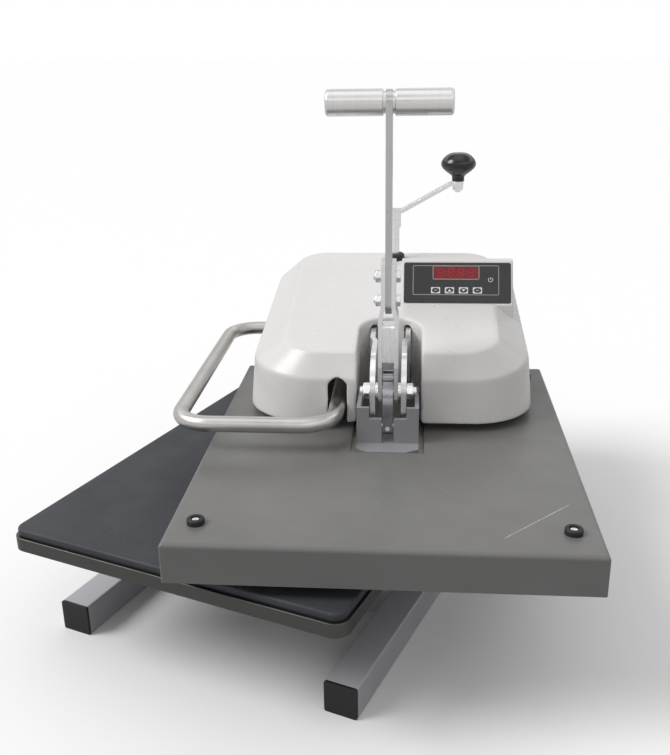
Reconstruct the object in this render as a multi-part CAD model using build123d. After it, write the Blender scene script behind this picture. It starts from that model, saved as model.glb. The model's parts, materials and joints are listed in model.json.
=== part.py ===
"""Swing-away heat press: a padded lower table on a tube base, and a head that swings about a post.

Millimetres. X runs to the operator's right, Y to the back and Z up. The origin is on the bench,
under the middle of the table. Every piece of the head is drawn with the head closed over the
table, then turned about the post by REST_SWING, which is the swung-open rest position.
"""
from math import cos, radians, sin, tan
import os

from build123d import *

# Base
TUBE = 38.1
TUBE_WALL = 2.0
TUBE_CORNER = 2.5
LEG_OFFSET = 176.1
LEG_FRONT = -202.0
LEG_REAR = 430.0
CAP_HEAD = 3.0
TABLE_BOTTOM = 136.0
TABLE_WIDTH = 412.0
TABLE_DEPTH = 508.0
TABLE_THICKNESS = 15.8
TABLE_CORNER = 16.0
PAD_THICKNESS = 9.8
PAD_INSET = 3.0
SPINE_WIDTH = 60.0
SPINE_FRONT = -120.0
SPINE_REAR = 445.0
SPINE_WALL = 3.0
BAR_THICKNESS = 6.0
BAR_SPAN = 280.0
BAR_DEPTH = 50.0
BAR_ROWS = (-90.0, 180.0)
TABLE_BOLT_OFFSET = 110.0

# Post, lift sleeve and head hub, all on one vertical axis
POST_Y = 375.0
POST_RADIUS = 25.4
POST_TOP = 311.0
POST_BORE = 19.0
POST_HEAD = 25.0
RUNNING_GAP = 0.05
SLEEVE_RADIUS = 31.75
SLEEVE_BOTTOM = 160.0
SLEEVE_TOP = 316.0
FLANGE_RADIUS = 46.0
WASHER_TOP = 171.0
HUB_RADIUS = 44.5
HUB_TOP = 318.0
HUB_CAP_TOP = 330.0
REST_SWING = 21.0
SWING_TO_CLOSED = -21.0
SWING_TO_OPEN = 69.0
STOP_CIRCLE = 54.5
STOP_PIN_RADIUS = 5.0
STOP_LUG_HALF = 7.0
STOP_LUG_REACH = 62.0
STOP_MARGIN_ANGLE = 13.1

# Head arm and main pivot
ARM_WIDTH = 38.1
ARM_BOTTOM = 240.5
ARM_TOP = 304.0
ARM_FRONT = 154.0
PLATE = 6.35
EAR_INNER = 15.2
EAR_BOTTOM = 244.6
EAR_TOP = 313.0
PIVOT_Y = 10.0
PIVOT_Z = 275.0
PIVOT_RADIUS = 5.0

# Lever
LEVER_GAP = 6.9
LEVER_PLATE = 4.76
BAR_HALF = 3.6
PLATE_TOP = 431.0
PLATE_HALF_DEPTH = 16.0
JOGGLE_TOP = 380.0
JOGGLE_BOTTOM = 367.0
LEVER_BOLTS = (386.0, 414.0)
GRIP_Z = 603.0
GRIP_RADIUS = 14.1
GRIP_END = 68.4
GRIP_START = 4.5
GRIP_STUD_RADIUS = 5.0
GRIP_STUD_END = 50.0

# Toggle link: crank radius and angle of its upper pin about the main pivot
TOGGLE_RADIUS = 18.0
TOGGLE_ANGLE = 100.0
UPPER_PIN_Y = PIVOT_Y + TOGGLE_RADIUS * cos(radians(TOGGLE_ANGLE))
UPPER_PIN_Z = PIVOT_Z + TOGGLE_RADIUS * sin(radians(TOGGLE_ANGLE))
LOWER_PIN_Y = -2.0
LOWER_PIN_Z = 235.0
LINK_HALF = 5.9
UPPER_PIN_RADIUS = 4.0
LOWER_PIN_RADIUS = 3.0
LOWER_EYE_BORE = 5.6

# Heat platen
COVER_WIDTH = 424.0
COVER_DEPTH = 514.0
COVER_BOTTOM = 175.3
COVER_TOP = 218.0
COVER_SHEET = 1.6
COVER_FOLD = 4.5
PLATEN_BOTTOM = 174.3
PLATEN_TOP = 196.3
PLATEN_WIDTH = 410.0
PLATEN_DEPTH = 500.0
ELEMENT_RADIUS = 4.0
BRACKET_HALF = 36.5
BRACKET_FRONT = -13.0
BRACKET_REAR = 60.0
BRACKET_FLOOR = 212.5
BRACKET_SHEET = 5.0
BRACKET_TOP = 262.0
STANDOFFS = ((-23.5, 4.0), (23.5, 4.0), (-23.5, 28.0), (23.5, 28.0))
ROD_OFFSET = 100.0
ROD_Y = 185.0
ROD_RADIUS = 6.35
ROD_TOP = 300.0
COVER_SCREW_X = 184.3
COVER_SCREW_Y = 214.7

# Head shell: half widths at front and rear, front, rear, corner radii, height at the front, slope
SHELL_WALL = 3.0
SHELL_BOTTOM = 228.0
SHELL_FRONT = 22.0
SHELL_REAR = 436.0
FOOT = (179.5, 179.5, SHELL_FRONT, SHELL_REAR, 80.0, 54.0, SHELL_BOTTOM, 0.0)
WAIST = (173.0, 178.5, 26.0, 432.0, 84.0, 62.0, 282.5, 6.2)
BROW = (131.5, 144.0, 43.5, 403.0, 50.0, 40.0, 312.0, 6.9)
EDGE_ROUNDING = 0.06
BROW_ROUNDING = 4.0
RECESS_HALF = 39.0
RECESS_REAR = 150.0
COLLAR_RADIUS = 14.0
EAR_SLOT = 8.4

# Control box and its sloping front panel
PANEL_X = 87.3
PANEL_Y = 210.0
PANEL_Z = 355.5
PANEL_SLOPE = 59.0
PANEL_WIDTH = 143.6
PANEL_HEIGHT = 57.0
PANEL_THICKNESS = 1.2
BOX_BORDER = 2.8
BOX_WALL = 2.5
KEY_WIDTH = 12.4
KEY_HEIGHT = 8.8
KEY_PITCH = 18.7
KEY_FIRST = -29.1
KEY_ROW = -10.6
KEY_GAP = 0.15
POWER_KEY_U = 44.5
POWER_KEY_V = 4.4
POWER_KEY_RADIUS = 4.2
DISPLAY_U = -1.8
DISPLAY_V = 14.4
DISPLAY_WIDTH = 60.5
DISPLAY_HEIGHT = 17.3

# Mains fittings in the back of the shell
INLET_X = 60.0
SWITCH_X = 110.0
REAR_FITTING_Z = 262.0
FITTING_FACE = 438.0

# Swing handle
HANDLE_RADIUS = 9.5
HANDLE_WALL = 2.0
HANDLE_Z = 250.0
HANDLE_BEND = 40.0
HANDLE_INNER_X = -62.0
HANDLE_OUTER_X = -248.0
HANDLE_FRONT_Y = -40.0
HANDLE_REAR_Y = 338.0

# Height crank
SCREW_RADIUS = 6.35
CRANK_HUB_BOTTOM = 400.0
CRANK_HUB_TOP = 422.0
CRANK_HUB_RADIUS = 8.5
CRANK_REACH = 92.0
KNOB_BASE = 468.0


def block(x0, x1, y0, y1, z0, z1):
    """A box given by its corner coordinates."""
    centre = Pos((x0 + x1) / 2, (y0 + y1) / 2, (z0 + z1) / 2)
    return centre * Box(x1 - x0, y1 - y0, z1 - z0)


def upright(radius, x, y, z0, z1):
    """A vertical cylinder."""
    return Pos(x, y, (z0 + z1) / 2) * Cylinder(radius, z1 - z0)


def crosswise(radius, y, z, x0, x1):
    """A cylinder along X."""
    return Pos((x0 + x1) / 2, y, z) * Rot(0, 90, 0) * Cylinder(radius, x1 - x0)


def hex_upright(across_flats, x, y, z0, z1):
    """A hexagonal prism along Z."""
    outline = RegularPolygon(across_flats / 2, 6, major_radius=False)
    return Pos(x, y, z0) * extrude(outline, z1 - z0)


def hex_crosswise(across_flats, y, z, x0, x1):
    """A hexagonal nut or bolt head along X, with its rims chamfered as a turned nut has."""
    outline = RegularPolygon(across_flats / 2, 6, major_radius=False)
    nut = extrude(Plane.YZ.offset(x0) * Pos(y, z) * outline, x1 - x0)
    rim = crosswise(across_flats * 0.56, y, z, x0, x1)
    rim = chamfer(rim.edges(), min(1.2, (x1 - x0) / 4))
    return nut & rim


def side_plate(points, x0, x1):
    """A plate whose outline is given in Y and Z, from x0 to x1."""
    outline = make_face(Polyline(*points, close=True))
    return extrude(Plane.YZ.offset(x0) * outline, x1 - x0)


def mirrored(part):
    """The same part on the other side of the head's centre plane."""
    return mirror(part, about=Plane.YZ)


def group(*parts):
    """Separate solids kept in one node."""
    return Compound([solid for part in parts for solid in part.solids()])


def swung(part):
    """Turns a piece from the closed head to its rest position."""
    return part.rotate(Axis((0, POST_Y, 0), (0, 0, 1)), REST_SWING)


def square_tube(length, size=TUBE, wall=TUBE_WALL):
    """A square tube along +Z, centred on the axis."""
    outside = RectangleRounded(size, size, TUBE_CORNER)
    inside = RectangleRounded(size - 2 * wall, size - 2 * wall, TUBE_CORNER - 1.5)
    return extrude(outside - inside, length)


# ---------------------------------------------------------------- base


def legs():
    length = LEG_REAR - LEG_FRONT - 2 * CAP_HEAD
    right = Pos(LEG_OFFSET, LEG_FRONT + CAP_HEAD, TUBE / 2) * Rot(-90, 0, 0) * square_tube(length)
    return group(mirrored(right), right)


def leg_caps():
    inside = TUBE - 2 * TUBE_WALL
    plug_length = 12.0
    caps = []
    for side in (-1, 1):
        for end, inward in ((LEG_FRONT, 1), (LEG_REAR, -1)):
            head = Pos(0, inward * CAP_HEAD / 2, 0) * Rot(90, 0, 0) * extrude(
                RectangleRounded(TUBE, TUBE, TUBE_CORNER), CAP_HEAD / 2, both=True
            )
            plug = Pos(0, inward * (CAP_HEAD + plug_length / 2), 0) * Box(
                inside - 1, plug_length, inside - 1
            )
            caps.append(Pos(side * LEG_OFFSET, end, TUBE / 2) * (head + plug))
    return group(*caps)


def cross_tubes():
    half = LEG_OFFSET - TUBE / 2
    tubes = []
    for y in (0.0, POST_Y):
        tubes.append(Pos(-half, y, TUBE / 2) * Rot(0, 90, 0) * square_tube(2 * half))
    return group(*tubes)


def spine_top():
    return TABLE_BOTTOM - BAR_THICKNESS


def spine_beam():
    """Box beam with welded end plates, which carries the table and the post."""
    wall = SPINE_WALL
    half = SPINE_WIDTH / 2
    beam = block(-half, half, SPINE_FRONT, SPINE_REAR, TUBE, spine_top())
    beam -= block(
        -half + wall, half - wall, SPINE_FRONT + wall, SPINE_REAR - wall,
        TUBE + wall, spine_top() - wall,
    )
    return beam - upright(POST_RADIUS, 0, POST_Y, TUBE + wall, spine_top())


def table_bolt_places():
    return [(side * TABLE_BOLT_OFFSET, y) for side in (-1, 1) for y in BAR_ROWS]


def table_bars():
    bars = []
    for y in BAR_ROWS:
        bar = block(
            -BAR_SPAN / 2, BAR_SPAN / 2, y - BAR_DEPTH / 2, y + BAR_DEPTH / 2,
            spine_top(), TABLE_BOTTOM,
        )
        for side in (-1, 1):
            bar -= upright(4.2, side * TABLE_BOLT_OFFSET, y, spine_top(), TABLE_BOTTOM)
        bars.append(bar)
    return group(*bars)


def table_bolts():
    bolts = []
    for x, y in table_bolt_places():
        head = hex_upright(13.0, x, y, spine_top() - 5.5, spine_top())
        bolts.append(head + upright(4.0, x, y, spine_top(), TABLE_BOTTOM + 10))
    return group(*bolts)


def rounded_slab(width, depth, z0, z1, corner, edge):
    slab = Pos(0, 0, z0) * extrude(RectangleRounded(width, depth, corner), z1 - z0)
    return fillet(slab.faces().sort_by(Axis.Z)[-1].edges(), edge)


def lower_table():
    top = TABLE_BOTTOM + TABLE_THICKNESS
    table = rounded_slab(TABLE_WIDTH, TABLE_DEPTH, TABLE_BOTTOM, top, TABLE_CORNER, 1.0)
    for x, y in table_bolt_places():
        table -= upright(4.0, x, y, TABLE_BOTTOM, TABLE_BOTTOM + 10)
    return table


def table_pad():
    bottom = TABLE_BOTTOM + TABLE_THICKNESS
    inset = 2 * PAD_INSET
    return rounded_slab(
        TABLE_WIDTH - inset, TABLE_DEPTH - inset, bottom, bottom + PAD_THICKNESS,
        TABLE_CORNER - PAD_INSET, 1.6,
    )


def post_flange():
    thickness = 12.0
    half = 65.0
    plate = block(-half, half, POST_Y - half, POST_Y + half, spine_top(), spine_top() + thickness)
    plate -= upright(POST_RADIUS, 0, POST_Y, spine_top(), spine_top() + thickness)
    for x, y in stop_places():
        plate -= upright(STOP_PIN_RADIUS, x, y, spine_top(), spine_top() + thickness)
    return plate


def swing_post():
    """Thick-walled post, closed at the top where the height screw bears on it."""
    foot = TUBE + SPINE_WALL
    post = upright(POST_RADIUS, 0, POST_Y, foot, POST_TOP)
    post -= upright(POST_BORE, 0, POST_Y, foot, POST_TOP - POST_HEAD)
    return chamfer(post.edges().sort_by(Axis.Z)[-1], 1.0)


def stop_places():
    """The two stops stand just outside the ends of the hub lug's travel."""
    lug_at_rest = -90.0 + REST_SWING
    angles = (
        lug_at_rest + SWING_TO_CLOSED - STOP_MARGIN_ANGLE,
        lug_at_rest + SWING_TO_OPEN + STOP_MARGIN_ANGLE,
    )
    return [
        (STOP_CIRCLE * cos(radians(a)), POST_Y + STOP_CIRCLE * sin(radians(a))) for a in angles
    ]


def swing_stops():
    top = 182.0
    return group(*[upright(STOP_PIN_RADIUS, x, y, spine_top(), top) for x, y in stop_places()])


# ---------------------------------------------------------------- lift sleeve


def lift_sleeve():
    sleeve = upright(SLEEVE_RADIUS, 0, POST_Y, SLEEVE_BOTTOM, SLEEVE_TOP)
    sleeve += upright(FLANGE_RADIUS, 0, POST_Y, SLEEVE_BOTTOM, SLEEVE_BOTTOM + 8)
    return sleeve - upright(POST_RADIUS + RUNNING_GAP, 0, POST_Y, SLEEVE_BOTTOM, SLEEVE_TOP)


def thrust_washer():
    bottom = SLEEVE_BOTTOM + 8
    ring = upright(FLANGE_RADIUS, 0, POST_Y, bottom, WASHER_TOP)
    return ring - upright(SLEEVE_RADIUS, 0, POST_Y, bottom, WASHER_TOP)


# ---------------------------------------------------------------- head frame


def head_hub():
    bottom = WASHER_TOP + RUNNING_GAP
    hub = upright(HUB_RADIUS, 0, POST_Y, bottom, HUB_TOP)
    half, front = STOP_LUG_HALF, POST_Y - STOP_LUG_REACH
    hub += block(-half, half, front, POST_Y - HUB_RADIUS + 4.5, bottom, bottom + 20)
    hub += block(-half, half, front, front + 15, SLEEVE_BOTTOM - 5, bottom)
    return hub - upright(SLEEVE_RADIUS + RUNNING_GAP, 0, POST_Y, bottom, HUB_TOP)


def hub_cap():
    """Threaded cap: the height screw turns in it and lifts the head."""
    cap = upright(HUB_RADIUS, 0, POST_Y, HUB_TOP, HUB_CAP_TOP)
    cap = chamfer(cap.edges().sort_by(Axis.Z)[-1], 1.0)
    return cap - upright(SCREW_RADIUS + RUNNING_GAP, 0, POST_Y, HUB_TOP, HUB_CAP_TOP)


def arm_tube():
    wall = 4.8
    half = ARM_WIDTH / 2
    tube = block(-half, half, ARM_FRONT, POST_Y, ARM_BOTTOM, ARM_TOP)
    tube -= block(-half + wall, half - wall, ARM_FRONT, POST_Y, ARM_BOTTOM + wall, ARM_TOP - wall)
    return tube - upright(HUB_RADIUS, 0, POST_Y, ARM_BOTTOM, ARM_TOP)


def pivot_ears():
    """Two ears, each welded to a side of the arm, then joggled inwards to the pivot."""
    rear, joggle_rear, joggle_front, nose = 240.0, 102.0, 86.0, 0.0
    outer_at_arm = ARM_WIDTH / 2
    strip = [
        (EAR_INNER, nose), (EAR_INNER, joggle_front), (outer_at_arm, joggle_rear),
        (outer_at_arm, rear), (outer_at_arm + PLATE, rear),
        (outer_at_arm + PLATE, joggle_rear), (EAR_INNER + PLATE, joggle_front),
        (EAR_INNER + PLATE, nose),
    ]
    bent = Pos(0, 0, EAR_BOTTOM) * extrude(
        make_face(Polyline(*strip, close=True)), EAR_TOP - EAR_BOTTOM
    )
    outline = Plane.YZ * Pos((nose + rear) / 2, (EAR_BOTTOM + EAR_TOP) / 2) * Rectangle(
        rear - nose, EAR_TOP - EAR_BOTTOM
    )
    corners = outline.vertices().sort_by(Axis.Y)[:2].sort_by(Axis.Z)
    outline = fillet(corners[0], 4.0)
    top_corner = outline.vertices().sort_by(Axis.Z)[-2:].sort_by(Axis.Y)[0]
    outline = fillet(top_corner, 38.0)
    plate = bent & extrude(outline, ARM_WIDTH)
    plate -= crosswise(PIVOT_RADIUS, PIVOT_Y, PIVOT_Z, 0, ARM_WIDTH)
    return group(mirrored(plate), plate)


def pivot_stud():
    half = 33.5
    stud = crosswise(PIVOT_RADIUS, PIVOT_Y, PIVOT_Z, -half, half)
    return chamfer(stud.edges(), 0.8)


def pivot_nuts():
    """Nuts outside the ears and spacing washers inside them."""
    outside = EAR_INNER + PLATE
    inside = LEVER_GAP + LEVER_PLATE + RUNNING_GAP
    nut = hex_crosswise(17.0, PIVOT_Y, PIVOT_Z, outside, outside + 8)
    washer = crosswise(10.0, PIVOT_Y, PIVOT_Z, inside, EAR_INNER)
    bore = crosswise(PIVOT_RADIUS, PIVOT_Y, PIVOT_Z, 0, 40)
    return group(nut - bore, washer - bore, mirrored(nut - bore), mirrored(washer - bore))


def guide_crossbar():
    half_span, half_depth, thickness = 118.0, 20.0, 10.0
    bottom = ARM_BOTTOM - thickness
    bar = block(-half_span, half_span, ROD_Y - half_depth, ROD_Y + half_depth, bottom, ARM_BOTTOM)
    for side in (-1, 1):
        bar -= upright(9.5, side * ROD_OFFSET, ROD_Y, bottom, ARM_BOTTOM)
    return bar


def guide_bushes():
    bushes = []
    for side in (-1, 1):
        x = side * ROD_OFFSET
        bush = upright(9.5, x, ROD_Y, 226.0, ARM_BOTTOM) + upright(
            12.0, x, ROD_Y, ARM_BOTTOM, ARM_BOTTOM + 3
        )
        bushes.append(bush - upright(ROD_RADIUS + RUNNING_GAP, x, ROD_Y, 226.0, ARM_BOTTOM + 3))
    return group(*bushes)


def return_springs():
    """Two coil springs that lift the platen again: bush flange to rod collar."""
    wire, coil, turns = 0.9, 9.0, 7
    bottom = ARM_BOTTOM + 3 + wire
    top = ROD_TOP - 10 - wire
    springs = []
    for side in (-1, 1):
        path = Helix((top - bottom) / turns, top - bottom, coil)
        profile = Plane(origin=path @ 0, z_dir=path % 0) * Circle(wire)
        spring = sweep(profile, path=path, is_frenet=True)
        springs.append(Pos(side * ROD_OFFSET, ROD_Y, bottom) * spring)
    return group(*springs)


# ---------------------------------------------------------------- head shell


def plan_outline(section, inset):
    """A closed outline with large front corners and smaller rear corners, on its sloping plane."""
    front_half, rear_half, front, rear, front_radius, rear_radius, height, slope = section
    front, rear = front + inset, rear - inset
    corners = [
        (-front_half + inset, front), (front_half - inset, front),
        (rear_half - inset, rear), (-rear_half + inset, rear),
    ]
    outline = make_face(Polyline(*corners, close=True))
    outline = fillet(outline.vertices().sort_by(Axis.Y)[:2], front_radius)
    outline = fillet(outline.vertices().sort_by(Axis.Y)[-2:], rear_radius)
    normal = (0, -sin(radians(slope)), cos(radians(slope)))
    plane = Plane(origin=(0, section[2], height - inset), x_dir=(1, 0, 0), z_dir=normal)
    return plane * Pos(0, -section[2]) * outline


def mix(a, b, share):
    """The section that lies the given share of the way from a to b."""
    return tuple(p + (q - p) * share for p, q in zip(a, b))


def rounded_edge(below, corner, above):
    """Sections that turn smoothly from below to above in place of the sharp corner."""
    return [
        mix(mix(below, corner, share), mix(corner, above, share), share)
        for share in (0.0, 0.25, 0.5, 0.75, 1.0)
    ]


def crown_section():
    """Where the rounding of the brow ends, on the flat top."""
    front_half, rear_half, front, rear, front_radius, rear_radius, height, slope = BROW
    step = BROW_ROUNDING
    return (
        front_half - step, rear_half - step, front + step, rear - step,
        front_radius - step, rear_radius - step, height + step * tan(radians(slope)), slope,
    )


def shell_body(inset):
    """Solid shape of the moulded head shell, shrunk by inset on every wall."""
    sections = [FOOT]
    for below, corner, above in ((FOOT, WAIST, BROW), (WAIST, BROW, crown_section())):
        start = mix(corner, below, EDGE_ROUNDING)
        end = above if corner is BROW else mix(corner, above, EDGE_ROUNDING)
        sections += rounded_edge(start, corner, end)
    return loft([plan_outline(section, inset) for section in sections], ruled=True)


def recess_channel(half, rear, bottom, top):
    """The slot that leaves room for the lever, with a round back end."""
    front = SHELL_FRONT - 40
    straight = block(-half, half, front, rear - half, bottom, top)
    return straight + upright(half, 0, rear - half, bottom, top)


def handle_slots():
    """Two arched slots, open at the bottom edge, where the handle enters the shell."""
    half = HANDLE_RADIUS + 2.0
    arch = 272.0
    front = block(
        HANDLE_INNER_X - half, HANDLE_INNER_X + half, SHELL_FRONT - 10, 60, 200, arch
    )
    front += Pos(HANDLE_INNER_X, 41, arch) * Rot(90, 0, 0) * Cylinder(half, 58)
    side = block(-190, -150, HANDLE_REAR_Y - half, HANDLE_REAR_Y + half, 200, 256.0)
    side += crosswise(half, HANDLE_REAR_Y, 256.0, -190, -150)
    return front + side


def head_shell():
    top = 400.0
    outer = shell_body(0.0)
    shell = outer - shell_body(SHELL_WALL)
    wall = recess_channel(RECESS_HALF + SHELL_WALL, RECESS_REAR + SHELL_WALL, SHELL_BOTTOM, top)
    shell += wall & outer
    shell -= recess_channel(RECESS_HALF, RECESS_REAR, SHELL_BOTTOM - 10, top)
    shell -= handle_slots()
    for side in (-1, 1):
        centre = side * (ARM_WIDTH + PLATE) / 2
        shell -= block(
            centre - EAR_SLOT / 2, centre + EAR_SLOT / 2, 100, 165, SHELL_BOTTOM - 10, EAR_TOP + 1.5
        )
    shell -= upright(COLLAR_RADIUS + 0.1, 0, POST_Y, SHELL_BOTTOM + 70, top)
    return shell - inlet_opening() - switch_opening()


# ---------------------------------------------------------------- control box


def panel_plane(lift=0.0):
    """Plane of the sloping panel, moved outwards by lift."""
    slope = radians(PANEL_SLOPE)
    normal = (0, -sin(slope), cos(slope))
    origin = (PANEL_X, PANEL_Y + lift * normal[1], PANEL_Z + lift * normal[2])
    return Plane(origin=origin, x_dir=(1, 0, 0), z_dir=normal)


def on_panel(sketch, depth_from, depth_to):
    """Extrudes a sketch drawn on the panel between two distances from its surface."""
    return extrude(panel_plane(depth_from) * sketch, depth_to - depth_from)


def key_places():
    return [(KEY_FIRST + i * KEY_PITCH, KEY_ROW) for i in range(4)]


def key_sketch(gap=0.0):
    return RectangleRounded(KEY_WIDTH + 2 * gap, KEY_HEIGHT + 2 * gap, 0.8)


def control_box_profile(inset):
    """Side outline of the control box: sloping front, short top and long back."""
    slope = radians(PANEL_SLOPE)
    half = PANEL_HEIGHT / 2 + BOX_BORDER - inset
    nose_y = PANEL_Y - half * cos(slope) + inset * sin(slope)
    nose_z = PANEL_Z - half * sin(slope) - inset * cos(slope)
    crest_y = PANEL_Y + half * cos(slope) + inset * sin(slope)
    crest_z = PANEL_Z + half * sin(slope) - inset * cos(slope)
    return [
        (nose_y, nose_z), (crest_y, crest_z), (crest_y + 14, crest_z),
        (318 - inset, 342), (318 - inset, 250), (nose_y, 250),
    ]


def control_box():
    half = PANEL_WIDTH / 2 + BOX_BORDER
    x0, x1 = PANEL_X - half, PANEL_X + half
    outer = side_plate(control_box_profile(0.0), x0, x1)
    front = outer.faces().filter_by(lambda f: f.normal_at().Y < -0.8 and f.normal_at().Z > 0.3)
    outer = fillet(front.edges(), 2.2)
    inner = side_plate(control_box_profile(BOX_WALL), x0 + BOX_WALL, x1 - BOX_WALL)
    box = outer - inner - shell_body(0.0)
    box -= on_panel(RectangleRounded(PANEL_WIDTH, PANEL_HEIGHT, 3), -0.9, 3)
    window = RectangleRounded(PANEL_WIDTH - 10, PANEL_HEIGHT - 10, 2)
    return max((box - on_panel(window, -8, 3)).solids(), key=lambda s: s.volume)


def face_panel():
    sheet = on_panel(
        RectangleRounded(PANEL_WIDTH - 0.4, PANEL_HEIGHT - 0.4, 2.8), -0.9, PANEL_THICKNESS - 0.9
    )
    for u, v in key_places():
        sheet -= on_panel(Pos(u, v) * key_sketch(KEY_GAP), -3, 3)
    sheet -= on_panel(Pos(POWER_KEY_U, POWER_KEY_V) * Circle(POWER_KEY_RADIUS + KEY_GAP), -3, 3)
    display = Pos(DISPLAY_U, DISPLAY_V) * RectangleRounded(DISPLAY_WIDTH, DISPLAY_HEIGHT, 1.5)
    return sheet - on_panel(display, -3, 3)


def display_window():
    display = RectangleRounded(DISPLAY_WIDTH, DISPLAY_HEIGHT, 1.5)
    return on_panel(Pos(DISPLAY_U, DISPLAY_V) * display, -4.5, 0.2)


def panel_key(index):
    u, v = key_places()[index]
    key = on_panel(Pos(u, v) * key_sketch(), -2.6, 0.9)
    face = key.faces().sort_by(Axis.Y)[0]
    return chamfer(face.edges(), 0.35)


def power_key():
    key = on_panel(Pos(POWER_KEY_U, POWER_KEY_V) * Circle(POWER_KEY_RADIUS), -2.6, 0.9)
    face = key.faces().sort_by(Axis.Y)[0]
    return chamfer(face.edges(), 0.35)


def circuit_board():
    board = on_panel(Rectangle(PANEL_WIDTH - 14, PANEL_HEIGHT - 14), -6.1, -4.5)
    return board + on_panel(Pos(20, 4) * Rectangle(40, 24), -14, -6.1)


# ---------------------------------------------------------------- head fittings


def crank_collar():
    """Plastic bush that guides the height screw through the shell, with its flange inside."""
    flange_bottom, flange_top, top = 342.0, 346.0, 360.0
    collar = upright(COLLAR_RADIUS, 0, POST_Y, flange_top, top)
    collar = chamfer(collar.faces().sort_by(Axis.Z)[-1].edges(), 2.0)
    collar += upright(COLLAR_RADIUS + 4, 0, POST_Y, flange_bottom, flange_top)
    return collar - upright(SCREW_RADIUS + 0.1, 0, POST_Y, flange_bottom, top)


def swing_handle():
    points = [
        (HANDLE_INNER_X, 195), (HANDLE_INNER_X, HANDLE_FRONT_Y), (HANDLE_OUTER_X, HANDLE_FRONT_Y),
        (HANDLE_OUTER_X, HANDLE_REAR_Y), (-20, HANDLE_REAR_Y),
    ]
    path = Pos(0, 0, HANDLE_Z) * FilletPolyline(*points, radius=HANDLE_BEND)
    start = Plane(origin=path @ 0, z_dir=path % 0)
    tube = sweep(start * (Circle(HANDLE_RADIUS) - Circle(HANDLE_RADIUS - HANDLE_WALL)), path=path)
    return tube - upright(HUB_RADIUS, 0, POST_Y, HANDLE_Z - 20, HANDLE_Z + 20)


def handle_clamp():
    """Saddle that holds the handle's inner end down on the guide crossbar."""
    half_width, height, half_depth = 18.0, 5.0, 14.0
    x, y = HANDLE_INNER_X, ROD_Y
    flange = block(
        x - half_width, x + half_width, y - half_depth, y + half_depth,
        ARM_BOTTOM, ARM_BOTTOM + height,
    )
    axis = Pos(x, y, HANDLE_Z) * Rot(90, 0, 0)
    hump = axis * Cylinder(HANDLE_RADIUS + 3, 2 * half_depth)
    hump &= block(x - 20, x + 20, y - 20, y + 20, ARM_BOTTOM, HANDLE_Z + 20)
    opening = block(x - HANDLE_RADIUS, x + HANDLE_RADIUS, y - 20, y + 20, ARM_BOTTOM, HANDLE_Z)
    return flange + hump - opening - axis * Cylinder(HANDLE_RADIUS, 60)


def rear_opening(x, width, height):
    z = REAR_FITTING_Z
    return block(x - width / 2, x + width / 2, 420, 450, z - height / 2, z + height / 2)


def inlet_opening():
    return rear_opening(INLET_X, 27, 20)


def switch_opening():
    return rear_opening(SWITCH_X, 13.5, 19.5)


def power_inlet():
    """Mains inlet with three blades in a recessed socket."""
    z = REAR_FITTING_Z
    outside = FITTING_FACE
    body = inlet_opening() & block(0, 100, 420, outside - 2, 200, 300)
    body += block(INLET_X - 16, INLET_X + 16, outside - 2, outside, z - 13, z + 13)
    body -= block(INLET_X - 11.5, INLET_X + 11.5, 424, outside, z - 7.5, z + 7.5)
    for dx, dz in ((-7, -2), (0, 2.5), (7, -2)):
        body += block(INLET_X + dx - 1, INLET_X + dx + 1, 424, outside - 1, z + dz - 2, z + dz + 2)
    return body


def switch_frame():
    z = REAR_FITTING_Z
    outside = FITTING_FACE
    frame = switch_opening() & block(90, 130, 420, outside - 2, 200, 300)
    frame += block(SWITCH_X - 8, SWITCH_X + 8, outside - 2, outside, z - 11, z + 11)
    return frame - block(SWITCH_X - 5.5, SWITCH_X + 5.5, 424, outside, z - 8.6, z + 8.6)


def power_rocker():
    """Rocker with two faces that meet at a shallow angle; it tips about X."""
    z = REAR_FITTING_Z
    outside = FITTING_FACE
    centre_y = outside - 3
    profile = [
        (outside + 2.6, z - 7.6), (outside + 0.4, z), (outside + 2.6, z + 7.6),
        (centre_y - 2, z + 6.4), (centre_y - 5, z), (centre_y - 2, z - 6.4),
    ]
    rocker = side_plate(profile, SWITCH_X - 5.2, SWITCH_X + 5.2)
    return Pos(0, centre_y, z) * Rot(7, 0, 0) * Pos(0, -centre_y, -z) * rocker


# ---------------------------------------------------------------- lever


def lever_plates():
    """Two cheeks: round about the pivot, joggled in to clamp the bar at the top."""
    low, high = LEVER_GAP, BAR_HALF
    strip = [
        (low, PIVOT_Z - 20), (low, JOGGLE_BOTTOM), (high, JOGGLE_TOP), (high, PLATE_TOP),
        (high + LEVER_PLATE, PLATE_TOP), (high + LEVER_PLATE, JOGGLE_TOP),
        (low + LEVER_PLATE, JOGGLE_BOTTOM), (low + LEVER_PLATE, PIVOT_Z - 20),
    ]
    front, rear = PIVOT_Y - PLATE_HALF_DEPTH, PIVOT_Y + PLATE_HALF_DEPTH
    bent = extrude(
        Plane.XZ.offset(-front) * make_face(Polyline(*strip, close=True)), -2 * PLATE_HALF_DEPTH
    )
    round_end = 14.0
    outline = [
        (PIVOT_Y - round_end, PIVOT_Z), (front, PIVOT_Z + 34), (front, PLATE_TOP),
        (rear, PLATE_TOP), (rear, PIVOT_Z + 34), (PIVOT_Y + round_end, PIVOT_Z),
    ]
    cheek = side_plate(outline, 0, 20) + crosswise(round_end, PIVOT_Y, PIVOT_Z, 0, 20)
    plate = bent & cheek
    plate -= crosswise(PIVOT_RADIUS + RUNNING_GAP, PIVOT_Y, PIVOT_Z, 0, 20)
    plate -= crosswise(UPPER_PIN_RADIUS, UPPER_PIN_Y, UPPER_PIN_Z, 0, 20)
    for z in LEVER_BOLTS:
        plate -= crosswise(4.0, PIVOT_Y, z, 0, 20)
    return group(mirrored(plate), plate)


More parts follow.
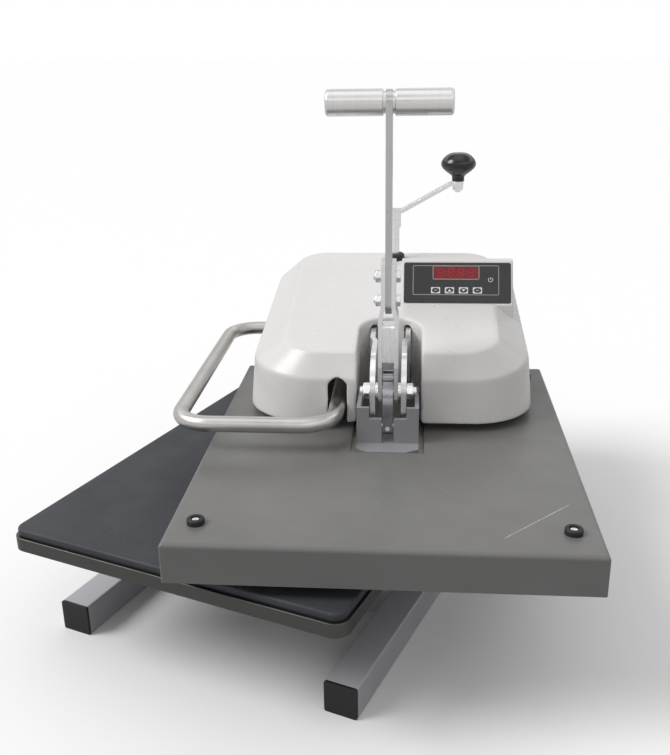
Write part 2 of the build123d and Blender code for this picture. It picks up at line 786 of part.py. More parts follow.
def lever_bar():
    """Flat bar with round ends and a cross stud that the grips screw onto."""
    half = GRIP_RADIUS - 0.6
    bottom = 370.0
    bar = block(-BAR_HALF, BAR_HALF, PIVOT_Y - half, PIVOT_Y + half, bottom + half, GRIP_Z)
    for z in (bottom + half, GRIP_Z):
        bar += crosswise(half, PIVOT_Y, z, -BAR_HALF, BAR_HALF)
    for z in LEVER_BOLTS:
        bar -= crosswise(4.0, PIVOT_Y, z, -BAR_HALF, BAR_HALF)
    return bar + crosswise(GRIP_STUD_RADIUS, PIVOT_Y, GRIP_Z, -GRIP_STUD_END, GRIP_STUD_END)


def lever_spacer():
    half_depth, bottom, top = 12.5, 313.0, 358.0
    front, rear = PIVOT_Y - half_depth, PIVOT_Y + half_depth
    spacer = block(-LEVER_GAP, LEVER_GAP, front, rear, bottom, top)
    return chamfer(spacer.edges().filter_by(Axis.X), 1.5)


def lever_bolts():
    """The two bolts that clamp the cheeks on the bar, with their nuts on the left."""
    fasteners = []
    outside = BAR_HALF + LEVER_PLATE
    for z in LEVER_BOLTS:
        bolt = crosswise(4.0, PIVOT_Y, z, -outside - 9, outside)
        bolt = chamfer(bolt.edges().sort_by(Axis.X)[0], 0.8)
        nut = hex_crosswise(13.0, PIVOT_Y, z, -outside - 6.8, -outside)
        fasteners.append(bolt + hex_crosswise(13.0, PIVOT_Y, z, outside, outside + 5.5))
        fasteners.append(nut - crosswise(4.0, PIVOT_Y, z, -40, 0))
    return group(*fasteners)


def upper_link_pin():
    half = LEVER_GAP + LEVER_PLATE
    return crosswise(UPPER_PIN_RADIUS, UPPER_PIN_Y, UPPER_PIN_Z, -half, half)


def hand_grips():
    """Turned halves of the handle, each with a shallow neck next to the bar."""
    neck = 2.0
    grip = crosswise(GRIP_RADIUS, PIVOT_Y, GRIP_Z, GRIP_START + neck, GRIP_END)
    grip = fillet(grip.edges().filter_by(GeomType.CIRCLE).sort_by(Axis.X)[-1], 3.5)
    grip = chamfer(grip.edges().filter_by(GeomType.CIRCLE).sort_by(Axis.X)[0], 0.8)
    grip += crosswise(GRIP_RADIUS - 2.2, PIVOT_Y, GRIP_Z, BAR_HALF, GRIP_START + neck)
    grip -= crosswise(GRIP_STUD_RADIUS, PIVOT_Y, GRIP_Z, BAR_HALF, GRIP_STUD_END)
    return group(mirrored(grip), grip)


# ---------------------------------------------------------------- toggle link


def toggle_link():
    """Curved link that passes in front of the main pivot on its way to the platen."""
    front_bulge = [
        (UPPER_PIN_Y - 8.0, UPPER_PIN_Z - 1.5), (-6.5, 284.5), (-11.0, 275.0), (-12.8, 262.0),
        (-12.6, 248.0), (LOWER_PIN_Y - 9.6, LOWER_PIN_Z + 1.5),
    ]
    rear_hollow = [
        (LOWER_PIN_Y + 9.6, LOWER_PIN_Z + 1.5), (4.0, 250.0), (1.0, 262.0), (0.6, 274.0),
        (2.6, 282.0), (UPPER_PIN_Y, UPPER_PIN_Z - 7.0),
    ]
    front = Spline(*front_bulge)
    rear = Spline(*rear_hollow)
    outline = front + Line(front @ 1, rear @ 0) + rear + Line(rear @ 1, front @ 0)
    blade = extrude(
        Plane.YZ.offset(-LINK_HALF) * make_face(outline), 2 * LINK_HALF
    )
    blade += crosswise(9.0, UPPER_PIN_Y, UPPER_PIN_Z, -LINK_HALF, LINK_HALF)
    blade += crosswise(9.6, LOWER_PIN_Y, LOWER_PIN_Z, -LINK_HALF, LINK_HALF)
    blade -= crosswise(
        UPPER_PIN_RADIUS + RUNNING_GAP, UPPER_PIN_Y, UPPER_PIN_Z, -LINK_HALF, LINK_HALF
    )
    blade -= crosswise(LOWER_EYE_BORE, LOWER_PIN_Y, LOWER_PIN_Z, -LINK_HALF, LINK_HALF)
    return blade - link_screw_hole(2.5)


def link_screw_hole(radius):
    """Hole through the front of the lower eye, along Y."""
    length = 7.0
    middle = LOWER_PIN_Y - 6.2 - length / 2
    return Pos(0, middle, LOWER_PIN_Z) * Rot(90, 0, 0) * Cylinder(radius, length)


def link_grease_plug():
    """Socket plug that closes the grease hole in the lower eye."""
    plug = Pos(0, LOWER_PIN_Y - 8.6, LOWER_PIN_Z) * Rot(90, 0, 0) * Cylinder(2.5, 4.0)
    socket = extrude(
        Plane(origin=(0, LOWER_PIN_Y - 10.6, LOWER_PIN_Z), z_dir=(0, 1, 0))
        * RegularPolygon(1.4, 6), 2.0,
    )
    return plug - socket


# ---------------------------------------------------------------- heat platen


def guide_rod_places():
    return [(-ROD_OFFSET, ROD_Y), (ROD_OFFSET, ROD_Y)]


def cover_screw_places():
    return [(sx * COVER_SCREW_X, sy * COVER_SCREW_Y) for sx in (-1, 1) for sy in (-1, 1)]


def platen_cover():
    half_w, half_d = COVER_WIDTH / 2, COVER_DEPTH / 2
    cover = block(-half_w, half_w, -half_d, half_d, COVER_BOTTOM, COVER_TOP)
    cover = fillet(cover.edges().filter_by(Axis.Z), 2.0)
    cover = fillet(cover.faces().sort_by(Axis.Z)[-1].edges(), COVER_FOLD)
    inner_w, inner_d = half_w - COVER_SHEET, half_d - COVER_SHEET
    inner = block(-inner_w, inner_w, -inner_d, inner_d, COVER_BOTTOM, COVER_TOP - COVER_SHEET)
    cover -= fillet(inner.faces().sort_by(Axis.Z)[-1].edges(), COVER_FOLD - COVER_SHEET)
    cover -= block(-43, 43, -41, 62, COVER_BOTTOM, COVER_TOP)
    for x, y in guide_rod_places():
        cover -= upright(9.0, x, y, COVER_BOTTOM, COVER_TOP)
    for x, y in cover_screw_places():
        cover -= upright(2.7, x, y, COVER_BOTTOM, COVER_TOP)
    return cover


def element_path():
    """Serpentine centre line of the heating element."""
    reach, rows, bend = 170.0, 6, 24.0
    pitch = 2 * (TABLE_DEPTH / 2 - 30) / (rows - 1)
    points = []
    for i in range(rows):
        y = (i - (rows - 1) / 2) * pitch
        side = 1 if i % 2 == 0 else -1
        points += [(-side * reach, y), (side * reach, y)]
    return Pos(0, 0, PLATEN_TOP) * FilletPolyline(*points, radius=bend)


def heating_element():
    path = element_path()
    return sweep(Plane(origin=path @ 0, z_dir=path % 0) * Circle(ELEMENT_RADIUS), path=path)


def heat_platen():
    """Aluminium plate with a groove for the element and four pillars for the cover."""
    half_w, half_d = PLATEN_WIDTH / 2, PLATEN_DEPTH / 2
    platen = block(-half_w, half_w, -half_d, half_d, PLATEN_BOTTOM, PLATEN_TOP)
    platen = fillet(platen.edges().filter_by(Axis.Z), 10.0)
    platen -= heating_element()
    for x, y in cover_screw_places():
        platen += upright(6.0, x, y, PLATEN_TOP, COVER_TOP - COVER_SHEET)
        platen -= upright(2.5, x, y, PLATEN_TOP - 8, COVER_TOP)
    return platen


def insulation_blanket():
    bottom = PLATEN_TOP + ELEMENT_RADIUS + 0.3
    blanket = block(-200, 200, -245, 245, bottom, bottom + 8)
    for x, y in guide_rod_places():
        blanket -= upright(ROD_RADIUS + 4, x, y, bottom, bottom + 8)
    for x, y in cover_screw_places():
        blanket -= upright(7.0, x, y, bottom, bottom + 8)
    for x, y in STANDOFFS:
        blanket -= upright(9.0, x, y, bottom, bottom + 8)
    return blanket


def bracket_mounts():
    """Standoffs that carry the bracket above the hot plate, and their round-head screws."""
    top = BRACKET_FLOOR + BRACKET_SHEET
    mounts = []
    for x, y in STANDOFFS:
        screw = upright(6.0, x, y, top, top + 4)
        mounts.append(upright(8.0, x, y, PLATEN_TOP, BRACKET_FLOOR))
        mounts.append(fillet(screw.edges().sort_by(Axis.Z)[-1], 2.0))
    return group(*mounts)


def platen_bracket():
    """Folded bracket: floor with a front lip, two side walls and a slotted front wall."""
    top_of_floor = BRACKET_FLOOR + BRACKET_SHEET
    lip_front, lip_chamfer_y, lip_half = -38.5, -29.0, 21.5
    floor_outline = [
        (-lip_half, lip_front), (lip_half, lip_front), (BRACKET_HALF, lip_chamfer_y),
        (BRACKET_HALF, BRACKET_REAR), (-BRACKET_HALF, BRACKET_REAR), (-BRACKET_HALF, lip_chamfer_y),
    ]
    bracket = Pos(0, 0, BRACKET_FLOOR) * extrude(
        make_face(Polyline(*floor_outline, close=True)), BRACKET_SHEET
    )
    wall = block(
        BRACKET_HALF - BRACKET_SHEET, BRACKET_HALF, BRACKET_FRONT, BRACKET_REAR,
        top_of_floor, BRACKET_TOP,
    )
    front = block(
        -BRACKET_HALF, BRACKET_HALF, BRACKET_FRONT, BRACKET_FRONT + BRACKET_SHEET,
        top_of_floor, BRACKET_TOP,
    )
    front -= block(-22, 22, BRACKET_FRONT, BRACKET_FRONT + BRACKET_SHEET, 248.0, BRACKET_TOP)
    slot_half = 7.2
    front -= block(-slot_half, slot_half, BRACKET_FRONT, 0, top_of_floor, BRACKET_TOP)
    lug = block(8.5, 14.0, BRACKET_FRONT + BRACKET_SHEET, 12, top_of_floor, 236.0)
    lug += crosswise(9.0, LOWER_PIN_Y + 1.0, LOWER_PIN_Z, 8.5, 14.0) & block(
        8, 15, BRACKET_FRONT + BRACKET_SHEET, 20, 220, 260
    )
    lug -= crosswise(LOWER_PIN_RADIUS, LOWER_PIN_Y, LOWER_PIN_Z, 8.5, 14.0)
    return bracket + wall + mirrored(wall) + front + lug + mirrored(lug)


def lower_link_pin():
    return crosswise(LOWER_PIN_RADIUS, LOWER_PIN_Y, LOWER_PIN_Z, -14.0, 14.0)


def guide_rods():
    """Rods with a collar near the top that the return springs push up against."""
    rods = []
    for x, y in guide_rod_places():
        rod = upright(ROD_RADIUS, x, y, PLATEN_TOP, ROD_TOP)
        rods.append(rod + upright(11.0, x, y, ROD_TOP - 10, ROD_TOP - 2))
    return group(*rods)


def cover_grommets():
    height = 6.0
    grommets = []
    for x, y in cover_screw_places():
        ring = fillet(
            upright(9.0, x, y, COVER_TOP, COVER_TOP + height).edges().sort_by(Axis.Z)[-1], 1.8
        )
        ring -= upright(4.8, x, y, COVER_TOP + 2, COVER_TOP + height)
        grommets.append(ring - upright(2.5, x, y, COVER_TOP, COVER_TOP + 2))
    return group(*grommets)


def cover_screws():
    screws = []
    for x, y in cover_screw_places():
        head = upright(4.5, x, y, COVER_TOP + 2, COVER_TOP + 4.6)
        head = fillet(head.edges().sort_by(Axis.Z)[-1], 1.4)
        head -= hex_upright(3.0, x, y, COVER_TOP + 3, COVER_TOP + 5)
        screws.append(head + upright(2.5, x, y, PLATEN_TOP - 8, COVER_TOP + 2))
    return group(*screws)


# ---------------------------------------------------------------- height crank


def crank_screw():
    screw = upright(SCREW_RADIUS, 0, POST_Y, POST_TOP + RUNNING_GAP, CRANK_HUB_TOP - 3)
    return chamfer(screw.edges().sort_by(Axis.Z)[0], 1.0)


def crank_arm():
    """Hub with a flat strap that slopes up to the knob."""
    strap = 5.0
    hub = upright(CRANK_HUB_RADIUS, 0, POST_Y, CRANK_HUB_BOTTOM, CRANK_HUB_TOP)
    base = CRANK_HUB_TOP
    end_z = KNOB_BASE - 2 - strap
    outline = [
        (-CRANK_HUB_RADIUS, base), (11, base), (CRANK_REACH - 11, end_z), (CRANK_REACH + 9, end_z),
        (CRANK_REACH + 9, end_z + strap), (CRANK_REACH - 13, end_z + strap), (9, base + strap),
        (-CRANK_HUB_RADIUS, base + strap),
    ]
    half_width = 8.0
    arm = extrude(
        Plane.XZ.offset(-POST_Y - half_width) * make_face(Polyline(*outline, close=True)),
        2 * half_width,
    )
    plan = block(0, CRANK_REACH, POST_Y - half_width, POST_Y + half_width, 400, 500)
    for x in (0, CRANK_REACH):
        plan += upright(half_width if x else CRANK_HUB_RADIUS, x, POST_Y, 400, 500)
    arm &= plan
    arm -= upright(4.0, CRANK_REACH, POST_Y, end_z, end_z + strap)
    hub -= upright(SCREW_RADIUS, 0, POST_Y, CRANK_HUB_BOTTOM, CRANK_HUB_TOP - 3)
    return hub + arm


def crank_fasteners():
    """The hub's socket set screw, and the knob's stud with its nut and washer."""
    z = (CRANK_HUB_BOTTOM + CRANK_HUB_TOP) / 2 + 1
    tip_y = POST_Y - CRANK_HUB_RADIUS - 1.5
    set_screw = Pos(0, tip_y + 2, z) * Rot(90, 0, 0) * Cylinder(2.6, 4)
    set_screw -= upright(CRANK_HUB_RADIUS, 0, POST_Y, CRANK_HUB_BOTTOM, CRANK_HUB_TOP)
    set_screw -= extrude(Plane.XZ.offset(-tip_y - 1) * Pos(0, z) * RegularPolygon(1.5, 6), 2)
    stud = upright(4.0, CRANK_REACH, POST_Y, KNOB_BASE - 16, KNOB_BASE + 20)
    stud += hex_upright(13.0, CRANK_REACH, POST_Y, KNOB_BASE - 13, KNOB_BASE - 7)
    stud += upright(8.5, CRANK_REACH, POST_Y, KNOB_BASE - 2, KNOB_BASE)
    return group(set_screw, stud)


def crank_knob():
    neck, wide = 9.0, 25.6
    base = KNOB_BASE + RUNNING_GAP
    side = Spline(
        (neck, base + 5), (12.5, base + 10), (wide, base + 25), (16, base + 38.2), (0, base + 41),
        tangents=[(0.1, 1), (-1, 0)],
    )
    outline = Polyline((0, base), (neck, base), (neck, base + 5)) + side
    outline += Line((0, base + 41), (0, base))
    profile = Plane.XZ * make_face(outline)
    knob = Pos(CRANK_REACH, POST_Y, 0) * revolve(profile, Axis.Z)
    return knob - upright(4.0 + RUNNING_GAP, CRANK_REACH, POST_Y, base, KNOB_BASE + 20.1)


FIXED_NODES = {
    "legs": legs,
    "leg_end_caps": leg_caps,
    "cross_tubes": cross_tubes,
    "spine_beam": spine_beam,
    "table_bars": table_bars,
    "table_bolts": table_bolts,
    "lower_table": lower_table,
    "table_pad": table_pad,
    "post_flange": post_flange,
    "swing_post": swing_post,
    "swing_stop_pins": swing_stops,
    "lift_sleeve": lift_sleeve,
    "thrust_washer": thrust_washer,
}

SWUNG_NODES = {
    "head_hub": head_hub,
    "hub_cap": hub_cap,
    "arm_tube": arm_tube,
    "pivot_ears": pivot_ears,
    "pivot_stud": pivot_stud,
    "pivot_nuts": pivot_nuts,
    "guide_crossbar": guide_crossbar,
    "guide_bushes": guide_bushes,
    "return_springs": return_springs,
    "head_shell": head_shell,
    "crank_collar": crank_collar,
    "swing_handle": swing_handle,
    "handle_clamp": handle_clamp,
    "control_box": control_box,
    "face_panel": face_panel,
    "display_window": display_window,
    "circuit_board": circuit_board,
    "set_key": lambda: panel_key(0),
    "up_key": lambda: panel_key(1),
    "down_key": lambda: panel_key(2),
    "enter_key": lambda: panel_key(3),
    "power_key": power_key,
    "power_inlet": power_inlet,
    "switch_frame": switch_frame,
    "power_rocker": power_rocker,
    "lever_plates": lever_plates,
    "lever_bar": lever_bar,
    "lever_spacer": lever_spacer,
    "lever_bolts": lever_bolts,
    "hand_grips": hand_grips,
    "upper_link_pin": upper_link_pin,
    "toggle_link": toggle_link,
    "link_grease_plug": link_grease_plug,
    "platen_cover": platen_cover,
    "heat_platen": heat_platen,
    "heating_element": heating_element,
    "insulation_blanket": insulation_blanket,
    "platen_bracket": platen_bracket,
    "bracket_mounts": bracket_mounts,
    "lower_link_pin": lower_link_pin,
    "guide_rods": guide_rods,
    "cover_grommets": cover_grommets,
    "cover_screws": cover_screws,
    "crank_screw": crank_screw,
    "crank_arm": crank_arm,
    "crank_fasteners": crank_fasteners,
    "crank_knob": crank_knob,
}


def write_all():
    os.makedirs("parts", exist_ok=True)
    for name, build in FIXED_NODES.items():
        export_step(build(), f"parts/{name}.step")
    for name, build in SWUNG_NODES.items():
        export_step(swung(build()), f"parts/{name}.step")


write_all()
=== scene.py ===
"""Looks of the swing-away heat press: finishes, moulded shell, rubber pad, panel print, light and camera.

Everything is in metres in the frame's own axes. X runs to the operator's right, Y to the back, Z up.
"""

import json
from math import asin, cos, degrees, hypot, pi, radians, sin

import bmesh
import bpy
from mathutils import Matrix, Vector


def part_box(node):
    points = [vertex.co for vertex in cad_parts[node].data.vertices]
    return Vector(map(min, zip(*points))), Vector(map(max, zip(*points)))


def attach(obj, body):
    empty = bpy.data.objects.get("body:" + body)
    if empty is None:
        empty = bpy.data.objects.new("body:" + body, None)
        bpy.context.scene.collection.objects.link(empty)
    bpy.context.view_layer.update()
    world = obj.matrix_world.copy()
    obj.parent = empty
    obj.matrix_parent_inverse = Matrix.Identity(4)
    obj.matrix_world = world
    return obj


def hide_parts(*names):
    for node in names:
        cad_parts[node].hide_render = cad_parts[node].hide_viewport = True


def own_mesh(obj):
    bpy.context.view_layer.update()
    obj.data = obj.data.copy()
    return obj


MM = 0.001

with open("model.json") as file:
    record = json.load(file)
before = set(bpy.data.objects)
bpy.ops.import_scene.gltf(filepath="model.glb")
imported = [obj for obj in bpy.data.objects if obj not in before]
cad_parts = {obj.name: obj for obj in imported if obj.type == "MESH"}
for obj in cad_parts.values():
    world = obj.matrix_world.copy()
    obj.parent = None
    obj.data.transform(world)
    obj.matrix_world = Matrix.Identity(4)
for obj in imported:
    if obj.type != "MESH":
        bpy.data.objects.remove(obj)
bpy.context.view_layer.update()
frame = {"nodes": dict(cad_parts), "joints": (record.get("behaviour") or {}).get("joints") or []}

# Camera, as a pinhole with a 36 mm sensor
CAMERA_PLACE = (0.517, -0.898, 0.6643)
CAMERA_YAW = 26.07
CAMERA_PITCH = 20.24
CAMERA_ROLL = -0.98
CAMERA_LENS = 43.45

# Studio lamps: the way they shine, their spread in degrees and their strength
KEY_DIRECTION, KEY_SPREAD, KEY_STRENGTH = (0.8, 0.55, -0.95), 30.0, 1.7
FILL_DIRECTION, FILL_SPREAD, FILL_STRENGTH = (-0.8, 0.5, -0.9), 50.0, 0.15

# Sky brightness for diffuse light at the horizon and overhead, and as the camera sees it
SKY_LOW, SKY_HIGH, SKY_SEEN = 0.2, 0.8, 1.0

# Floor paleness to the camera, in mirror reflections and to bounced light, and its half width
FLOOR_SEEN, FLOOR_MIRRORED, FLOOR_BOUNCE = 1.0, 0.6, 0.22
FLOOR_HALF = 30.0

# Head shell: remesh size, smoothing, and the lever recess whose rim is rounder
SHELL_VOXEL = 1.6 * MM
SHELL_SMOOTH_STEPS = 5
RECESS_HALF, RECESS_END_Y = 39 * MM, 111 * MM
RIM_REACH, RIM_SMOOTH_STEPS = 7 * MM, 22

# Rubber pad
PAD_CORNER = 13.0 * MM
PAD_CROWN = 0.5 * MM
PAD_EDGE = 2.6 * MM

# Insulation blanket: size and height of its lumps
LUMP_SIZE = 30 * MM
LUMP_HEIGHT = 0.5 * MM

# Scratch on the platen cover, on the closed head's plan
SCRATCH_START, SCRATCH_END = (0.116, -0.229), (0.191, -0.155)
SCRATCH_WIDTH = 0.55 * MM

WELD_DISTANCE = 0.01 * MM

# Control panel print, about the middle of the panel
PRINT_THICKNESS = 0.06 * MM
PRINT_LIFT = 0.02 * MM
BORDER_LEFT, BORDER_RIGHT = -59.9 * MM, 55.8 * MM
BORDER_LOW, BORDER_HIGH = -17.1 * MM, 24.6 * MM
BORDER_LINE = 0.9 * MM
DISPLAY_FRAME = 1.1 * MM
DIGIT_COUNT = 4


# ---------------------------------------------------------------- measuring the frame


def node_points(name):
    return [v.co for v in frame["nodes"][name].data.vertices]


def reach(name, direction):
    """How far the node goes along a direction."""
    return max(p.dot(direction) for p in node_points(name))


def joint(name):
    return next(j for j in frame["joints"] if j["name"] == name)


# Axes of the head: across it, along it to the back, and its post
ACROSS = Vector(joint("lever_swing")["axis"]).normalized()
UP = Vector((0.0, 0.0, 1.0))
BACK = UP.cross(ACROSS)
POST = Vector(joint("head_swing")["pos_m"])


# ---------------------------------------------------------------- materials


class Finish:
    """A Principled material whose colour, roughness and bump are built up in layers."""

    def __init__(self, name, colour, roughness, metallic=0.0, coat=0.0):
        self.material = bpy.data.materials.new(name)
        self.material.use_nodes = True
        self.tree = self.material.node_tree
        self.shader = self.tree.nodes["Principled BSDF"]
        self.colour = self.value_colour(colour)
        self.roughness = self.number(roughness)
        self.normal = None
        self.shader.inputs["Metallic"].default_value = metallic
        self.shader.inputs["Coat Weight"].default_value = coat
        self.shader.inputs["Coat Roughness"].default_value = 0.12
        self.place = self.node("ShaderNodeTexCoord").outputs["Object"]

    def node(self, kind, **settings):
        made = self.tree.nodes.new(kind)
        for key, value in settings.items():
            setattr(made, key, value)
        return made

    def join(self, source, socket):
        self.tree.links.new(source, socket)

    def number(self, value):
        made = self.node("ShaderNodeValue")
        made.outputs[0].default_value = value
        return made.outputs[0]

    def value_colour(self, colour):
        made = self.node("ShaderNodeRGB")
        made.outputs[0].default_value = (*colour, 1.0)
        return made.outputs[0]

    def maths(self, operation, a, b=0.0):
        made = self.node("ShaderNodeMath", operation=operation)
        for socket, value in zip(made.inputs, (a, b)):
            if isinstance(value, (int, float)):
                socket.default_value = value
            else:
                self.join(value, socket)
        return made.outputs[0]

    def turned_place(self, stretch=(1.0, 1.0, 1.0), turn=0.0, shift=(0.0, 0.0, 0.0)):
        """Object coordinates moved by shift, turned about Z by turn degrees, then stretched."""
        moved = self.node("ShaderNodeMapping", vector_type="POINT")
        moved.inputs["Location"].default_value = shift
        turner = self.node("ShaderNodeVectorRotate", rotation_type="Z_AXIS")
        turner.inputs["Angle"].default_value = radians(turn)
        scaled = self.node("ShaderNodeVectorMath", operation="MULTIPLY")
        scaled.inputs[1].default_value = stretch
        self.join(self.place, moved.inputs["Vector"])
        self.join(moved.outputs[0], turner.inputs["Vector"])
        self.join(turner.outputs[0], scaled.inputs[0])
        return scaled.outputs[0]

    def noise(self, scale, detail=3.0, stretch=(1.0, 1.0, 1.0), turn=0.0):
        made = self.node("ShaderNodeTexNoise")
        made.inputs["Scale"].default_value = scale
        made.inputs["Detail"].default_value = detail
        self.join(self.turned_place(stretch, turn), made.inputs["Vector"])
        return made.outputs[0]

    def between(self, mask, start, end, low=0.0, high=1.0):
        """Remaps a mask so that start becomes low and end becomes high, clamped."""
        made = self.node("ShaderNodeMapRange", clamp=True)
        self.join(mask, made.inputs["Value"])
        for name, value in (
            ("From Min", start), ("From Max", end), ("To Min", low), ("To Max", high),
        ):
            made.inputs[name].default_value = value
        return made.outputs[0]

    def tint(self, mask, colour):
        """Paints a colour where the mask is high."""
        mixer = self.node("ShaderNodeMix", data_type="RGBA")
        self.join(mask, mixer.inputs["Factor"])
        self.join(self.colour, mixer.inputs["A"])
        mixer.inputs["B"].default_value = (*colour, 1.0)
        self.colour = mixer.outputs["Result"]
        return self

    def roughen(self, mask, amount):
        self.roughness = self.maths("ADD", self.roughness, self.maths("MULTIPLY", mask, amount))
        return self

    def bump(self, mask, height):
        made = self.node("ShaderNodeBump")
        made.inputs["Distance"].default_value = height
        made.inputs["Strength"].default_value = 1.0
        self.join(mask, made.inputs["Height"])
        if self.normal is not None:
            self.join(self.normal, made.inputs["Normal"])
        self.normal = made.outputs["Normal"]
        return self

    def soft_edges(self, radius):
        """Light catches every edge as if it were broken by this radius."""
        made = self.node("ShaderNodeBevel", samples=4)
        made.inputs["Radius"].default_value = radius
        if self.normal is not None:
            self.join(self.normal, made.inputs["Normal"])
        self.normal = made.outputs[0]
        return self

    def edge_mask(self, radius):
        """High within a radius of an outside or inside edge."""
        bevel = self.node("ShaderNodeBevel", samples=4)
        bevel.inputs["Radius"].default_value = radius
        geometry = self.node("ShaderNodeNewGeometry")
        product = self.node("ShaderNodeVectorMath", operation="DOT_PRODUCT")
        self.join(bevel.outputs[0], product.inputs[0])
        self.join(geometry.outputs["Normal"], product.inputs[1])
        return self.between(product.outputs["Value"], 0.995, 0.88)

    def worn_edges(self, radius, colour, share=0.6):
        """Paint or plating rubbed thin along edges, in patches."""
        patches = self.between(self.noise(45.0, 4.0), 0.42, 0.62)
        worn = self.maths("MULTIPLY", self.edge_mask(radius), patches)
        return self.tint(self.maths("MULTIPLY", worn, share), colour)

    def done(self):
        self.join(self.colour, self.shader.inputs["Base Color"])
        self.join(self.roughness, self.shader.inputs["Roughness"])
        if self.normal is not None:
            self.join(self.normal, self.shader.inputs["Normal"])
        return self.material


def painted(name, colour, roughness, worn_to, texture_height=0.03 * MM, coat=0.0):
    """Sprayed or powder-coated metal: slight orange peel, cloudy gloss and rubbed edges."""
    finish = Finish(name, colour, roughness, coat=coat)
    darker = [channel * 0.9 for channel in colour]
    finish.tint(finish.between(finish.noise(9.0, 5.0), 0.35, 0.7), darker)
    finish.roughen(finish.between(finish.noise(30.0, 4.0), 0.3, 0.7, -0.5, 0.5), 0.12)
    finish.bump(finish.noise(900.0, 2.0), texture_height)
    finish.worn_edges(0.6 * MM, worn_to, 0.5)
    return finish.soft_edges(0.5 * MM)


def brushed(name, colour, roughness, stretch, turn=0.0, edge=0.4 * MM):
    """Bare metal with fine lines along each axis that has a small stretch."""
    finish = Finish(name, colour, roughness, metallic=1.0)
    lines = finish.noise(700.0, 4.0, stretch, turn)
    clouds = finish.noise(22.0, 4.0)
    darker = [channel * 0.82 for channel in colour]
    finish.tint(finish.between(lines, 0.35, 0.75, 0.0, 0.6), darker)
    finish.roughen(finish.between(clouds, 0.3, 0.7, -0.5, 0.5), 0.16)
    finish.roughen(finish.between(lines, 0.3, 0.7, -0.5, 0.5), 0.12)
    finish.bump(lines, 0.003 * MM)
    return finish.soft_edges(edge)


def frame_paint():
    return painted("frame_paint", (0.56, 0.565, 0.6), 0.36, (0.35, 0.35, 0.36)).done()


def cap_plastic():
    finish = Finish("cap_plastic", (0.014, 0.014, 0.015), 0.5)
    finish.bump(finish.noise(1400.0, 2.0), 0.05 * MM)
    finish.roughen(finish.noise(60.0), 0.15)
    return finish.soft_edges(0.6 * MM).done()


def table_metal():
    finish = brushed("table_metal", (0.1, 0.1, 0.095), 0.42, (0.04, 0.04, 1.0))
    return finish.worn_edges(0.8 * MM, (0.24, 0.24, 0.23), 0.7).done()


def pad_rubber():
    """Silicone sponge sheet: fine cloth print, dusty patches and rubbed edges."""
    finish = Finish("pad_rubber", (0.031, 0.034, 0.042), 0.62)
    finish.tint(finish.between(finish.noise(7.0, 6.0), 0.42, 0.72), (0.046, 0.048, 0.056))
    finish.tint(finish.between(finish.noise(260.0, 3.0), 0.6, 0.74, 0.0, 0.35), (0.1, 0.1, 0.11))
    weave = finish.node("ShaderNodeTexWave", wave_type="BANDS", bands_direction="X")
    cross = finish.node("ShaderNodeTexWave", wave_type="BANDS", bands_direction="Y")
    for threads in (weave, cross):
        threads.inputs["Scale"].default_value = 180.0
        finish.join(finish.place, threads.inputs["Vector"])
    print_height = finish.maths("ADD", weave.outputs["Fac"], cross.outputs["Fac"])
    finish.bump(print_height, 0.05 * MM)
    finish.bump(finish.noise(420.0, 4.0), 0.08 * MM)
    finish.roughen(finish.between(finish.noise(16.0, 5.0), 0.3, 0.7, -0.5, 0.5), 0.2)
    finish.worn_edges(1.2 * MM, (0.13, 0.13, 0.135), 0.6)
    return finish.done()


def post_steel():
    return brushed("post_steel", (0.5, 0.5, 0.51), 0.28, (1.0, 1.0, 0.03)).done()


def zinc_steel():
    """Bright zinc plating: faint crystalline clouds, a bluish cast and a few dull spots."""
    finish = brushed("zinc_steel", (0.95, 0.95, 0.96), 0.3, (1.0, 1.0, 0.08))
    finish.tint(finish.between(finish.noise(120.0, 3.0), 0.58, 0.75, 0.0, 0.3), (0.76, 0.77, 0.79))
    return finish.done()


def bar_steel():
    """Bare drawn bar with fine lines along it and faint rust freckles."""
    finish = brushed("bar_steel", (0.6, 0.6, 0.59), 0.3, (1.0, 1.0, 0.03))
    finish.tint(finish.between(finish.noise(210.0, 3.0), 0.68, 0.78, 0.0, 0.4), (0.42, 0.36, 0.3))
    return finish.done()


def dark_steel():
    finish = brushed("dark_steel", (0.4, 0.41, 0.43), 0.22, (1.0, 1.0, 0.05))
    finish.tint(finish.between(finish.noise(55.0, 5.0), 0.5, 0.7, 0.0, 0.7), (0.2, 0.2, 0.22))
    return finish.worn_edges(0.8 * MM, (0.75, 0.75, 0.76), 0.8).done()


def shell_plastic():
    """Moulded plastic: fine spark texture, flow clouds and fine darker specks."""
    finish = Finish("shell_plastic", (0.75, 0.735, 0.72), 0.3)
    finish.tint(finish.between(finish.noise(5.0, 5.0), 0.4, 0.72, 0.0, 0.5), (0.69, 0.67, 0.65))
    finish.tint(finish.between(finish.noise(600.0, 2.0), 0.66, 0.8, 0.0, 0.3), (0.6, 0.58, 0.56))
    finish.roughen(finish.between(finish.noise(35.0, 4.0), 0.3, 0.7, -0.5, 0.5), 0.1)
    finish.bump(finish.noise(1300.0, 2.0), 0.012 * MM)
    return finish.soft_edges(0.6 * MM).done()


def cover_paint():
    """Grey enamel on folded sheet, with one long scratch and a few faint scuffs."""
    finish = painted("cover_paint", (0.175, 0.172, 0.168), 0.42, (0.36, 0.36, 0.36), coat=0.06)
    scratch = scratch_line(finish, Vector(SCRATCH_START), Vector(SCRATCH_END), SCRATCH_WIDTH)
    finish.tint(scratch, (0.62, 0.61, 0.6))
    scuffs = finish.between(finish.noise(240.0, 2.0, (0.06, 1.0, 1.0), 38.0), 0.7, 0.78, 0.0, 0.3)
    finish.tint(scuffs, (0.3, 0.3, 0.3))
    return finish.done()


